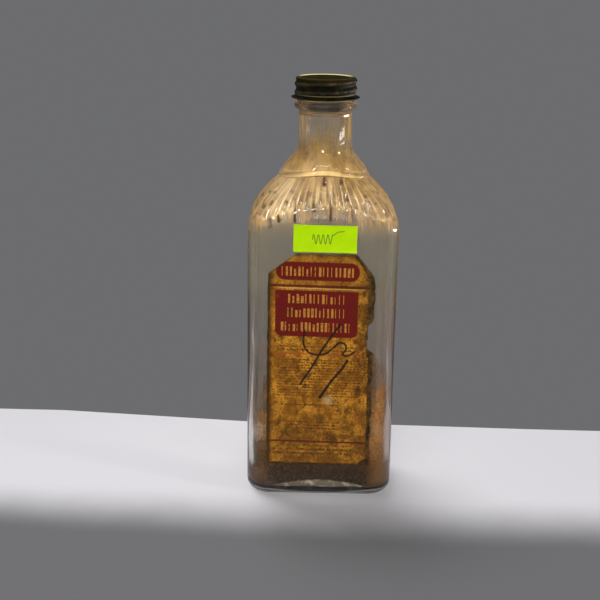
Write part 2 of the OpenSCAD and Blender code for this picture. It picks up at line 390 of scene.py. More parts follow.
def make_film():
    """A sheet just inside the glass, below the lip. "groove" is how deep in a flute a point lies."""
    rings = np.array(inner_rings(-FILM_GAP)[6:] + floor_rings(-FILM_GAP))
    film = skin("inner_film", film_material(), rings, None, (0, 0, FLOOR_Z - FILM_GAP))
    grooves = flute_cut(rings[:, :, 0], rings[:, :, 2], AROUND[None, :]) / FLUTE_DEPTH
    attribute = film.data.attributes.new("groove", "FLOAT", "POINT")
    attribute.data.foreach_set("value", np.append(grooves.ravel(), 0.0))
    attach(film, "bottle")


def crust_floor():
    """Under and upper side of the deposit on the floor, from the middle out: lumpy, about 1.2 thick."""
    under, over = [], []
    for share in (0.06, 0.2, 0.35, 0.5, 0.62, 0.74, 0.84, 0.92, 0.985):
        ring = level_ring(floor_level(share, FILM_GAP))
        x, y = ring[:, 0], ring[:, 1]
        lumps = np.maximum(1.2 + 0.5 * ripple(x, y, 0, 15, 8) + 0.35 * ripple(x, y, 0, 5, 9), 0.25)
        under.append(ring)
        over.append(ring + np.stack([0 * lumps, 0 * lumps, lumps], axis=1))
    return under, over


def crust_climb():
    """The same two sides up the round of the heel, feathering out to a ragged edge."""
    under, over = [], []
    x, y = outline(HALF_W, HALF_D, CORNER_R, AROUND)
    x1, y1 = outline(HALF_W - 1, HALF_D - 1, CORNER_R - 1, AROUND)
    around = tau * AROUND
    ragged = 0.75 + 0.25 * ripple(np.cos(around) * 30, np.sin(around) * 20, 0, 12, 10)
    for f in steps(0.1, 1, 9):
        turn = ragged * f * radians(80)
        inset = WALL_T + INNER_HEEL_R * (1 - np.sin(turn))
        z = FLOOR_EDGE_Z + INNER_HEEL_R * (1 - np.cos(turn))
        for rings, away in ((under, 0.08), (over, 0.25 + 1.1 * (1 - f))):
            move = inset + away * np.sin(turn)
            rise = z + away * np.cos(turn)
            rings.append(np.stack([x + (x1 - x) * move, y + (y1 - y) * move, rise], axis=1))
    return under, over


def make_crust():
    under, over = crust_floor()
    climb_under, climb_over = crust_climb()
    rings = under + climb_under + climb_over[::-1] + over[::-1]
    tips = ((0, 0, FLOOR_Z + FILM_GAP), (0, 0, FLOOR_Z + 1.3))
    crust = skin("floor_crust", crust_material(), rings, *tips)
    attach(crust, "bottle")
    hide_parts("dried_residue")


# ---- the cap and its liner
CAP_COLUMNS = 288
CAP_ANGLES = tau * np.arange(CAP_COLUMNS) / CAP_COLUMNS


def cap_ring(radius, z):
    """A ring round the cap. Small dents move both faces of the sheet alike."""
    x, y = np.cos(CAP_ANGLES), np.sin(CAP_ANGLES)
    dent = 0.06 * ripple(15 * x, 15 * y, z, 12, 21) + 0.02 * ripple(15 * x, 15 * y, z, 4, 22)
    r = radius + dent * clamp(radius / 8) * (radius < 20)
    return np.stack([r * x, r * y, z + 0 * x], axis=1)


def cap_wall(z, inward=0.0):
    """The rolled thread with a plain band above it and the foot of the flare below."""
    d, _ = off_crest(CAP_ANGLES, z)
    band = ease((z - ROLL_END_Z) / 0.8)
    roll = ROLL_H * bump(d, ROLL_HALF) * ease(ROLL_END_Z + 0.9 - z)
    flare = max(0, RIM_Z + FLARE_H - z) * (RIM_R - CAP_R) / FLARE_H
    return cap_ring(CAP_R + (BAND_R - CAP_R) * band + np.maximum(roll, flare) - inward, z)


def cap_rings():
    """From the middle of the ceiling down the inside, round the rim's curl, up and over the top."""
    ceiling = CAP_TOP_Z - SHEET_T
    inner_edge = CAP_EDGE_R - SHEET_T
    rings = [cap_ring(r, ceiling) for r in (0.5, 4.0, 8.0, 12.0)]
    for turn in steps(pi / 2, 0, 5):
        r = BAND_R - SHEET_T - inner_edge * (1 - cos(turn))
        rings.append(cap_ring(r, ceiling - inner_edge * (1 - sin(turn))))
    heights = steps(RIM_Z + 0.5, CAP_TOP_Z - CAP_EDGE_R - 0.05, 44)
    rings += [cap_wall(z, SHEET_T) for z in heights[::-1]]
    for turn in steps(-pi, pi / 2, 9):
        r = RIM_R - CURL_R * (1 - cos(turn))
        rings.append(cap_ring(r, RIM_Z + CURL_R * (1 + sin(turn))))
    rings += [cap_wall(z) for z in heights]
    for turn in steps(0, pi / 2, 9):
        r = BAND_R - CAP_EDGE_R * (1 - cos(turn))
        rings.append(cap_ring(r, CAP_TOP_Z - CAP_EDGE_R * (1 - sin(turn))))
    panel = ((13.4, 0), (13.1, 0.03), (12.8, 0.16), (12.5, 0.22), (9, 0.2), (5, 0.16),
             (0.5, PANEL_SINK))
    return rings + [cap_ring(r, CAP_TOP_Z - sink) for r, sink in panel]


def make_cap():
    tips = ((0, 0, CAP_TOP_Z - SHEET_T), (0, 0, CAP_TOP_Z - PANEL_SINK))
    cap = skin("rolled_cap", cap_material(), cap_rings(), *tips)
    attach(cap, "cap")
    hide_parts("cap_shell")


def make_disc(node, name, material, dent):
    """A lathed disc with soft edges. dent is how deep the lip has pressed into its underside."""
    low, high = (np.array(corner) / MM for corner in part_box(node))
    r, soft = high[0], min(0.12, (high[2] - low[2]) * 0.4)
    bottom, top = low[2], high[2]
    under = ((0.4, 0), (8, 0), (10.6, 0), (11.1, dent), (12.4, dent), (13, 0), (r - soft, 0))
    profile = [(radius, bottom + rise) for radius, rise in under]
    profile += [(r, bottom + soft), (r, top - soft), (r - soft, top), (12, top), (6, top), (0.4, top)]
    angles = tau * np.arange(96) / 96
    x, y = np.cos(angles), np.sin(angles)
    rings = [np.stack([q * x, q * y, z + 0 * angles], axis=1) for q, z in profile]
    disc = skin(name, material, rings, (0, 0, bottom), (0, 0, top))
    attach(disc, "liner")
    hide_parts(node)
    return disc


# ---- the papers
def front_y(x, z):
    """Y of the glass's front surface."""
    x, z = np.broadcast_arrays(np.asarray(x, float), np.asarray(z, float))
    past = np.maximum(np.abs(x) - (HALF_W - CORNER_R), 0)
    corner = CORNER_R - np.sqrt(np.maximum(CORNER_R**2 - past**2, 0))
    front = 1 / (1 + (x / HALF_D) ** 2)
    start = SIDE_BEND_Z + (FRONT_BEND_Z - SIDE_BEND_Z) * front
    rise = SIDE_RISE + (FRONT_RISE - SIDE_RISE) * front
    return -(HALF_D - corner - FRONT_INSET * clamp((z - start) / rise) ** FRONT_POWER)


def paper(name, material, left, right, low, high, lift, rows, columns, thickness):
    """A sheet on the front panel, with functions for its four edges and its height off the glass."""
    v, s = np.meshgrid(np.linspace(0, 1, rows), np.linspace(0, 1, columns), indexing="ij")
    z = low(s) + v * (high(s) - low(s))
    x = left(z) + s * (right(z) - left(z))
    y = front_y(x, z) - lift(x, z, s, v)
    vertices = np.stack([x, y, z], axis=2).reshape(-1, 3)
    faces = []
    for k in range(rows - 1):
        for i in range(columns - 1):
            at = k * columns + i
            faces.append((at, at + 1, at + columns + 1, at + columns))
    sheet = mesh_object(name, vertices, faces, material)
    solid = sheet.modifiers.new("thickness", "SOLIDIFY")
    solid.thickness = thickness * MM
    solid.offset = -1
    return sheet


def torn(t, seed, size, amount):
    """A ragged line along t."""
    return amount * (0.6 * ripple(t, 0, 0, size, seed) + 0.4 * ripple(t, 0, 0, size / 4, seed + 1))


def torn_edge(points, seed, size, amount):
    """A ragged line through points, as a function of the place along it."""
    along, value = zip(*points)

    def edge(t):
        return np.interp(t, along, value) + torn(t, seed, size, amount)
    return edge


def make_backing():
    """The lower ply, which shows as a dark ragged strip where the printed ply has torn away."""
    left = torn_edge([(20, -28), (124, -27.7), (134, -14), (135, -12.6)], 31, 9, 0.25)
    right = torn_edge([(21, 25.6), (60, 26.4), (82, 26.6), (84.5, 24), (97, 23.6), (100, 26.6),
                       (104, 27), (118, 27.2), (123, 26), (129, 22), (135, 16.5)], 33, 6, 0.55)

    def low(s):
        return 19.9 - 0.3 * s + torn(s * 54, 35, 10, 0.2)

    def high(s):
        return 134.6 + torn(s * 54, 37, 8, 0.3)

    def lift(x, z, s, v):
        return 0.03 + 0.02 * (1 + ripple(x, z, 0, 6, 39))
    backing = paper("label_backing", backing_material(), left, right, low, high, lift, 230, 60, 0.02)
    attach(backing, "bottle")
    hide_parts("front_label")


def make_label():
    """The printed ply. Its right side has torn, and its edges curl a little."""
    left = torn_edge([(20, -27.9), (124, -27.6), (134.4, -13.2)], 41, 11, 0.15)
    right = torn_edge([(21, 21), (23.4, 24.4), (60, 24.6), (80, 24.2), (82, 23.6), (97, 23.4),
                       (100, 23.2), (118, 24.4), (122, 23.6), (127, 21), (131, 17.8), (134.8, 15.2)],
                      43, 7, 0.35)

    def low(s):
        return 20.6 - 0.6 * s + torn(s * 50, 45, 12, 0.15)

    def high(s):
        return 134.5 + torn(s * 50, 47, 9, 0.2)

    def lift(x, z, s, v):
        edge = np.maximum(ease((s - 0.93) / 0.07), ease((0.02 - s) / 0.02))
        curl = 0.3 * edge * clamp(0.5 + 0.5 * ripple(z, 0, 0, 26, 49))
        top = 0.35 * ease((v - 0.985) / 0.015)
        return 0.13 + 0.03 * (1 + ripple(x, z, 0, 13, 50)) + curl + top
    label = paper("printed_label", label_material(), left, right, low, high, lift, 300, 140, 0.06)
    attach(label, "bottle")
    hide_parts("front_label")


def make_sticker():
    middle = (STICKER_LOW + STICKER_HIGH) / 2 + np.array([0.35, 0.0, -1.1])
    half_w, half_h = 16.0, 7.0
    slope = math.tan(radians(-0.6))

    def left(z):
        return middle[0] - half_w + 0.01 * (z - middle[2])

    def right(z):
        return left(z) + 2 * half_w

    def low(s):
        return middle[2] - half_h + slope * (s - 0.5) * 2 * half_w

    def high(s):
        return low(s) + 2 * half_h

    def lift(x, z, s, v):
        """The lower right corner and the upper edge have come away a little."""
        corner = ease((0.1 - v) / 0.1) * (0.25 + 0.35 * ease((s - 0.8) / 0.2))
        return 0.09 + corner + 0.25 * ease((v - 0.93) / 0.07) + 0.02 * (1 + ripple(x, z, 0, 9, 55))
    edges = (left, right, low, high)
    sticker = paper("blank_price_sticker", sticker_material(), *edges, lift, 40, 80, 0.07)
    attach(sticker, "bottle")
    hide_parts("price_sticker")


# ---- node materials
def math_method(operation):
    """A method of Value that adds a Math node."""
    def method(self, *others):
        return self.shade.math(operation, self, *others)
    return method


class Value:
    """A number, colour, direction or surface that nodes work out. Arithmetic on it adds more nodes."""

    # numpy's own numbers leave the arithmetic to this class
    __array_ufunc__ = None
    __add__ = math_method("ADD")
    __sub__ = math_method("SUBTRACT")
    __mul__ = math_method("MULTIPLY")
    __truediv__ = math_method("DIVIDE")
    __abs__ = math_method("ABSOLUTE")
    root = math_method("SQRT")
    floor = math_method("FLOOR")
    fraction = math_method("FRACT")
    at_most = math_method("MINIMUM")
    above = math_method("GREATER_THAN")

    def __init__(self, shade, socket):
        self.shade = shade
        self.socket = socket

    def __rsub__(self, other):
        return self.shade.math("SUBTRACT", other, self)

    def ramp(self, low, high, out_low=0.0, out_high=1.0):
        """Goes smoothly from out_low to out_high as this goes from low to high."""
        inputs = {"Value": self, "From Min": low, "From Max": high,
                  "To Min": out_low, "To Max": out_high}
        return self.shade.node("MapRange", inputs, interpolation_type="SMOOTHSTEP")

    def fall(self, low, high):
        """Goes smoothly from 1 to 0 as this goes from low to high."""
        return self.ramp(low, high, 1, 0)

    def between(self, low, high, soft=0.2):
        """1 from low to high and 0 elsewhere."""
        return self.ramp(low - soft, low + soft) * self.fall(high - soft, high + soft)

    def mix(self, a, b):
        """Colour b over colour a, with this as the share of b."""
        return self.shade.node("Mix", {0: self, 6: a, 7: b}, output=2, data_type="RGBA")

    def bumped(self, distance, strength=1.0, normal=None):
        """A normal that follows this as a relief, distance millimetres high."""
        inputs = {"Strength": strength, "Distance": distance * MM, "Height": self, "Normal": normal}
        return self.shade.node("Bump", inputs)


class Shade:
    """A node material. x, y, z and place are the point's position in millimetres."""

    def __init__(self, name):
        self.material = bpy.data.materials.new(name)
        self.material.use_nodes = True
        self.tree = self.material.node_tree
        self.tree.nodes.clear()
        metres = self.node("TexCoord", output="Object")
        self.place = self.node("VectorMath", {0: metres, "Scale": 1 / MM}, operation="SCALE")
        split = self.node("SeparateXYZ", {0: self.place}).socket.node
        self.x, self.y, self.z = (Value(self, end) for end in split.outputs)

    def node(self, kind, inputs=(), output=0, **settings):
        """Adds a node and gives one of its outputs. An input of None keeps its default."""
        node = self.tree.nodes.new("ShaderNode" + kind)
        for name, setting in settings.items():
            setattr(node, name, setting)
        for name, value in dict(inputs).items():
            socket = node.inputs[name]
            if isinstance(value, Value):
                self.tree.links.new(value.socket, socket)
            elif value is not None:
                socket.default_value = (*value, 1.0) if socket.type == "RGBA" else value
        return Value(self, node.outputs[output])

    def math(self, operation, *terms):
        return self.node("Math", enumerate(terms), operation=operation)

    def stretched(self, sx, sy, sz, shift=0.0):
        """The position with each axis scaled, for noise with a grain."""
        moved = (shift, shift * 0.7, shift * 1.3)
        inputs = {"Vector": self.place, "Scale": (sx, sy, sz), "Location": moved}
        return self.node("Mapping", inputs)

    def noise(self, size, detail=3.0, roughness=0.55, vector=None, distortion=0.0):
        """Noise with features about size millimetres across, mostly between 0.3 and 0.7."""
        inputs = {"Vector": vector or self.place, "Scale": 1 / size, "Detail": detail,
                  "Roughness": roughness, "Distortion": distortion}
        return self.node("TexNoise", inputs, output="Fac")

    def cell_edges(self, size):
        """Distance to the nearest edge between cells about size millimetres across."""
        inputs = {"Vector": self.place, "Scale": 1 / size}
        return self.node("TexVoronoi", inputs, output="Distance", feature="DISTANCE_TO_EDGE")

    def named(self, name):
        """A number stored on the mesh's points."""
        return self.node("Attribute", output="Fac", attribute_name=name)

    def principled(self, colour, roughness, metallic=0.0, normal=None, alpha=None, shine=None,
                   clear=None, IOR=None):
        """A Principled surface. What is None keeps its default."""
        return self.node("BsdfPrincipled", {
            "Base Color": colour, "Roughness": roughness, "Metallic": metallic, "Normal": normal,
            "Alpha": alpha, "Specular IOR Level": shine, "Transmission Weight": clear, "IOR": IOR,
        })

    def finish(self, surface):
        output = self.tree.nodes.new("ShaderNodeOutputMaterial")
        self.tree.links.new(surface.socket, output.inputs["Surface"])
        return self.material

    def paint(self, *looks, **others):
        return self.finish(self.principled(*looks, **others))


def either(first, *others):
    """The greatest of several values, which joins masks."""
    for other in others:
        first = first.shade.math("MAXIMUM", first, other)
    return first


def dice(a, b):
    """A steady random number from two whole ones."""
    pair = a.shade.node("CombineXYZ", {0: a, 1: b})
    return a.shade.node("TexWhiteNoise", {"Vector": pair}, output="Value", noise_dimensions="2D")


def box(x, z, x0, x1, z0, z1, soft=0.2):
    """1 inside a rectangle."""
    return x.between(x0, x1, soft) * z.between(z0, z1, soft)


def distance(dx, dz):
    return (dx * dx + dz * dz).root()


def round_box(x, z, x0, x1, z0, z1, radius, soft=0.2):
    """1 inside a rounded rectangle."""
    dx = either(abs(x - (x0 + x1) / 2) - ((x1 - x0) / 2 - radius), 0.0)
    dz = either(abs(z - (z0 + z1) / 2) - ((z1 - z0) / 2 - radius), 0.0)
    return distance(dx, dz).fall(radius - soft, radius + soft)


def spot(x, z, at_x, at_z, radius, soft=1.0):
    """1 inside a circle."""
    return distance(x - at_x, z - at_z).fall(radius - soft, radius + soft)


def through_shadows(shade, surface, tint):
    """Lamps pass through the surface with a tint, so that what is behind glass is lit."""
    shadow_ray = shade.node("LightPath", output="Is Shadow Ray")
    clear = shade.node("BsdfTransparent", {"Color": tint})
    return shade.node("MixShader", {0: shadow_ray, 1: surface, 2: clear})


def glass_material():
    shade = Shade("clear_old_glass")
    swell = shade.noise(9, 2, 0.4, shade.stretched(1, 1, 0.35))
    seeds = shade.noise(1.6, 3, 0.6)
    normal = swell.bumped(0.22, 0.5, seeds.bumped(0.012, 0.4))
    haze = shade.noise(14, 4, 0.6).ramp(0.42, 0.7, 0.015, 0.07)
    surface = shade.principled((0.98, 0.967, 0.925), haze, normal=normal, clear=1, IOR=1.45)
    return shade.finish(through_shadows(shade, surface, (0.93, 0.94, 0.93)))


class Film(Shade):
    """Dried film: tan on the neck and shoulder, a faint haze in the middle, rusty low down."""

    def __init__(self):
        super().__init__("dried_film")
        self.aside = abs(self.x)
        self.blotch = self.noise(11, 5, 0.6)
        self.fine = self.noise(1.7, 4, 0.65)
        self.run = self.noise(2.1, 3, 0.6, self.stretched(1, 1, 0.06))
        self.streak = self.noise(4.5, 3, 0.55, self.stretched(1, 1, 0.12, 30))
        # the flutes' edges and round lower ends hold more film, and tan() paints them pale as a painted
        # highlight
        self.groove = self.named("groove")
        crest = self.groove.ramp(0, 0.1) * self.groove.fall(0.2, 0.75)
        crest = crest * self.streak.ramp(0.34, 0.56, 0.45, 1) * self.blotch.ramp(0.3, 0.55, 0.6, 1)
        self.crest = crest * self.z.fall(163, 170)
        # an orange tide line round the top of the neck
        self.up = self.z + (self.fine - 0.5) * 1.2
        self.tide = self.up.between(201.4, 202.5, 0.35)
        # a crescent over the push-up
        arc = FLOOR_Z + 2.9 - self.x * self.x * 0.0066
        self.foot = (self.z - arc).fall(-0.8, 0.4)

    def shoulder(self):
        """A tan veil, thick round the ring and thin up the neck. The flutes' beds let the back show."""
        blotch, streak = self.blotch, self.streak
        ragged = self.z + (self.run - 0.5) * 30 + (blotch - 0.5) * 18 + self.aside * 0.25
        veil = ragged.ramp(143, 166) * ragged.ramp(180, 196, 1, 0.12)
        veil = veil * streak.ramp(0.3, 0.6, 0.74, 0.97)
        bed = self.groove.ramp(0.55, 0.95) * blotch.ramp(0.4, 0.58, 1, 0.2)
        return either(veil * bed.ramp(0, 1, 1, 0.76), self.crest * 0.8) * 0.95

    def neck(self):
        """The finish is brown from the cap, and the neck's sides are tan."""
        up, aside = self.up, self.aside
        finish = either(up.ramp(202.6, 203.4, 0, 0.7), up.ramp(205, 205.8, 0, 0.8),
                        self.tide * aside.ramp(0, 9, 0.45, 0.85))
        sides = aside.ramp(6.5, 10.5) * self.z.ramp(186, 190) * self.run.ramp(0.3, 0.6, 0.3, 0.75)
        return finish, sides

    def lower_third(self):
        """Rusty crust with a ragged upper edge, higher towards the narrow sides."""
        x, z = self.x, self.z
        side = self.aside.ramp(14, 31)
        edge = side * 30 + x * 0.12 + (self.blotch - 0.45) * 60 + (self.run - 0.5) * 34
        lower = (edge + 31 - z).ramp(-6, 14) * self.fine.ramp(0.3, 0.6, 0.7, 1)
        lower = either(lower, z.ramp(20, 30, 0.95, 0))
        # the glass's edges on both sides are clearer, except low down
        clear = either(x.ramp(-34.4, -31.6, 0.85, 0.1) * z.ramp(12, 20),
                       x.ramp(31.5, 34.5, 0, 0.5) * z.ramp(14, 24))
        return lower * (1 - clear) * self.foot.ramp(0, 1, 1, 0.8) * 0.96

    def tan(self):
        x, z, groove = self.x, self.z, self.groove
        tan = self.streak.ramp(0.38, 0.62).mix((0.33, 0.185, 0.055), (0.53, 0.33, 0.12))
        tan = self.blotch.ramp(0.45, 0.7, 0, 0.5).mix(tan, (0.42, 0.22, 0.065))
        # a painted glare: the left of the shoulder is lit pale
        painted_glare = x.between(-29, -14, 4) * z.between(154, 172, 4)
        tan = (painted_glare * 0.75).mix(tan, (0.88, 0.67, 0.38))
        # painted shade in the flutes' beds
        tan = (groove.ramp(0.6, 0.95) * 0.4).mix(tan, (0.27, 0.15, 0.045))
        # a painted highlight along the flutes' edges and round lower ends
        tan = (self.crest * 0.9).mix(tan, (0.85, 0.63, 0.3))
        tan = z.ramp(174, 180, 0, 0.75).mix(tan, (0.24, 0.145, 0.032))
        tan = self.noise(26, 2, 0.5).ramp(0.45, 0.6, 0, 0.4).mix(tan, (0.44, 0.3, 0.17))
        tan = z.fall(138, 150).mix(tan, (0.26, 0.2, 0.085))
        # a painted highlight along the ring, with a painted shade line under it
        bow = either(1 - x * x * (1 / RING_A**2), 0)
        over_ring = z - (bow * (RING_FRONT_Z - RING_SIDE_Z) + RING_SIDE_Z)
        line = over_ring.between(-0.9, 0.5, 0.4) * self.aside.ramp(16, 23, 0.8, 0)
        tan = line.mix(tan, (0.85, 0.6, 0.25))
        tan = (over_ring.between(-2.4, -1.2, 0.4) * 0.7).mix(tan, (0.15, 0.075, 0.018))
        tan = z.ramp(202.2, 202.9).mix(tan, self.brown())
        tan = self.tide.mix(tan, (0.2, 0.085, 0.022))
        # painted shade: deeper towards the outline of the shoulder and flare
        outward = self.aside + (z - 157) * 0.85
        deep = outward.ramp(24.5, 31.5, 0, 0.6) * z.fall(186, 196)
        return deep.mix(tan, (0.27, 0.155, 0.05))

    def brown(self):
        """The colour under the cap: gold, with the bead above painted in light and shade: dark, darkest
        in its middle, under a pale highlight band.
        """
        gold = self.fine.ramp(0.4, 0.7, 0, 0.6).mix((0.2, 0.13, 0.045), (0.07, 0.04, 0.012))
        # painted shade, darkest in the bead's middle and lighter brown at its sides
        dark = self.aside.ramp(5, 10.5).mix((0.014, 0.009, 0.005), (0.12, 0.07, 0.03))
        bead = self.up.between(204.6, 208, 0.4).mix((0.32, 0.24, 0.1), dark)
        return self.up.ramp(204.2, 204.8).mix(gold, bead)

    def rust(self):
        """Amber towards the right and darker towards the left."""
        x, blotch = self.x, self.blotch
        rust = blotch.ramp(0.35, 0.65).mix((0.1, 0.042, 0.01), (0.27, 0.115, 0.024))
        rust = self.fine.ramp(0.4, 0.7, 0, 0.5).mix(rust, (0.2, 0.11, 0.032))
        amber = x.ramp(22, 30, 0, 0.85) * blotch.ramp(0.42, 0.62, 1, 0.2)
        rust = amber.mix(rust, (0.36, 0.15, 0.027))
        return x.ramp(-34, -20, 0.4, 0).mix(rust, (0.1, 0.055, 0.018))


def film_material():
    film = Film()
    z, fine, run = film.z, film.fine, film.run
    drips = runs_below_flutes(film)
    threads = run.ramp(0.64, 0.72) * z.ramp(20, 105, 0.8, 0)
    haze = film.noise(20, 5, 0.6).ramp(0.35, 0.75, 0.1, 0.3)
    cover = either(film.shoulder(), drips, film.lower_third(), threads, haze, *film.neck())
    colour = z.fall(95, 125).mix(film.tan(), film.rust())
    colour = drips.mix(colour, (0.07, 0.028, 0.008))
    # nearly black at the foot, a dark deposit with painted shade where the label keeps the light off,
    # and pale and mottled over the push-up
    deep = (z + fine * 8).fall(17, 38) * film.aside.ramp(22, 34, 1, 0.55)
    black = fine.ramp(0.45, 0.65).mix((0.018, 0.009, 0.004), (0.05, 0.024, 0.008))
    colour = deep.mix(colour, black)
    pale = film.noise(5, 2, 0.5).ramp(0.5, 0.66).mix((0.17, 0.14, 0.085), (0.55, 0.5, 0.4))
    colour = film.foot.mix(colour, pale)
    return film.paint(colour, 0.75, normal=fine.bumped(0.08, 0.4), alpha=cover.at_most(1), shine=0.2)


def runs_below_flutes(film):
    """Dark runs that dried where the flutes end: big ones on the front and small ones all round."""
    x, z = film.x, film.z
    # each big run's place, half height and half width
    runs = ((-5, 158, 3.5, 1.5), (3.4, 157, 7, 1.3), (-14.5, 156, 7, 1.1), (-26.5, 150, 4, 1.6),
            (-22.5, 152, 3.2, 1.4), (0, 170, 3.4, 1.1), (8.5, 170, 2.6, 1))
    found = []
    for at_x, at_z, half_h, half_w in runs:
        low, high = at_z - half_h, at_z + half_h
        away = abs(x - at_x) * (1 / half_w) + z.ramp(low, high) * 0.5
        ends = z.fall(at_z + half_h * 0.3, high)
        found.append(away.fall(0.35, 1.1) * z.ramp(low, low + 1.4) * ends)
    big = either(*found) * film.y.fall(-12, -6)
    end = film.noise(3.3, 1, 0.5, film.stretched(1, 1, 0.01, 11)).ramp(0.35, 0.68, 160, 143)
    thin = film.noise(2.4, 1, 0.5, film.stretched(1, 1, 0.02, 57)).ramp(0.6, 0.68)
    scattered = thin * (z - end).ramp(-1, 2.5) * z.fall(160, 170)
    return either(big, scattered * 0.8) * film.run.ramp(0.3, 0.5, 0.7, 1)


def crust_material():
    shade = Shade("dried_crust")
    blotch, fine = shade.noise(6, 5, 0.6), shade.noise(0.9, 4, 0.65)
    cracks = shade.cell_edges(3.2).fall(0, 0.08)
    colour = blotch.ramp(0.38, 0.68).mix((0.03, 0.014, 0.006), (0.09, 0.04, 0.014))
    colour = fine.ramp(0.55, 0.8, 0, 0.4).mix(colour, (0.2, 0.1, 0.035))
    colour = (cracks * 0.7).mix(colour, (0.015, 0.007, 0.003))
    normal = (fine - cracks * 0.5).bumped(0.4, 0.8)
    return shade.paint(colour, blotch.ramp(0.4, 0.7, 0.55, 0.85), normal=normal)


def cap_material():
    """Dark aged lacquer over tinplate, a little worn, with painted yellow highlights on the top edge
    and foot.
    """
    shade = Shade("aged_cap_metal")
    x, y, z = shade.x, shade.y, shade.z
    radius = (x * x + y * y).root()
    blotch, fine = shade.noise(4, 5, 0.6), shade.noise(0.5, 4, 0.7)
    scratch = shade.noise(0.35, 2, 0.6, shade.stretched(1, 1, 6))
    colour = blotch.ramp(0.38, 0.62).mix((0.004, 0.0035, 0.002), (0.014, 0.011, 0.005))
    crest = radius.ramp(CAP_R + 0.35, CAP_R + 0.8) * z.ramp(RIM_Z + 2, RIM_Z + 2.4)
    # the roll crests are reddish brown, more so to the right: partly the lacquer's colour, partly
    # painted highlight
    reddish = blotch.ramp(0.45, 0.6) * x.ramp(-6, 4, 0.25, 0.9) * crest
    colour = reddish.mix(colour, (0.075, 0.038, 0.019))
    # the plain band and the top are olive, where the lacquer has thinned
    high = z.ramp(ROLL_END_Z - 0.4, ROLL_END_Z + 0.4)
    colour = (high * blotch.ramp(0.3, 0.6, 0.6, 1)).mix(colour, (0.019, 0.013, 0.003))
    # a painted highlight: the top edge turns yellow only on its far side
    far = y.ramp(0, 9, 0.02, 1)
    far_edge_highlight = z.ramp(CAP_TOP_Z - 0.6, CAP_TOP_Z - 0.15) * radius.ramp(BAND_R - 2.9, BAND_R - 2.5) * far
    # a painted highlight line along the top of the flare's foot
    foot = z.between(RIM_Z + 1.7, RIM_Z + 2.2, 0.15) * radius.ramp(CAP_R + 1, CAP_R + 0.4)
    rim = radius.ramp(RIM_R - 0.45, RIM_R - 0.1)
    # the yellow is real wear on the crests and the rim, and painted highlight on the top edge and over
    # the foot
    worn = either(crest * scratch.ramp(0.55, 0.75) * 0.25, far_edge_highlight * fine.ramp(0.25, 0.5),
                  foot * fine.ramp(0.3, 0.6) * 0.16, rim * fine.ramp(0.5, 0.75) * 0.06)
    colour = worn.mix(colour, (0.95, 0.87, 0.4))
    roughness = either(fine.ramp(0.3, 0.7, 0.42, 0.65), high * 0.8)
    metallic = worn.ramp(0, 0.6, 0.04, 0.3)
    normal = fine.bumped(0.05, 0.5, blotch.bumped(0.12, 0.5))
    return shade.paint(colour, roughness, metallic, normal, shine=0.05)


def disc_material(name, pale, dark, bump_size):
    shade = Shade(name)
    blotch, fine = shade.noise(5, 4, 0.6), shade.noise(bump_size, 3, 0.7)
    colour = blotch.ramp(0.35, 0.7).mix(pale, dark)
    colour = fine.ramp(0.5, 0.8, 0, 0.35).mix(colour, dark)
    return shade.paint(colour, fine.ramp(0.3, 0.7, 0.45, 0.8), normal=fine.bumped(0.06, 0.6))


PRINT_SLOPE = 0.018
# the label's print: left, right, bottom and top of each heading
HEADINGS = ((-21, 16.6, 122.6, 127.8), (-17.6, 12.6, 108.2, 113.4),
            (-18, 12.6, 100.8, 106), (-21.2, 15.6, 93.2, 98.4))
BAR_PITCH = 2.1
# the same of each block of small print, with the distances between its lines and between its dashes
FINE_PRINT = ((-22.5, 19.5, 82.6, 86.4, 1.9, 0.95), (-22.5, 20.5, 57.6, 78.8, 1.52, 0.8),
              (-20.5, 7.5, 52.3, 54.2, 1.9, 1), (-18, 10, 39.2, 44.4, 1.75, 1.1),
              (-12, 17, 29.6, 31, 1.4, 0.9), (-25, 17.5, 24.6, 29.2, 2.3, 1))
# dark spots on the label: place, radius, softness and strength
SPOTS = ((-20.5, 89.5, 1.6, 1.4, 0.8), (19.4, 62.9, 1.3, 1, 0.9), (0.6, 45.6, 2.2, 1.6, 0.7),
         (-20, 71, 2, 2, 0.5), (-8, 69, 1.6, 1.6, 0.5), (5.5, 36, 2.6, 2.2, 0.5),
         (-17.7, 37.8, 1.8, 1.6, 0.6), (-17, 103.5, 1.6, 1.6, 0.5))


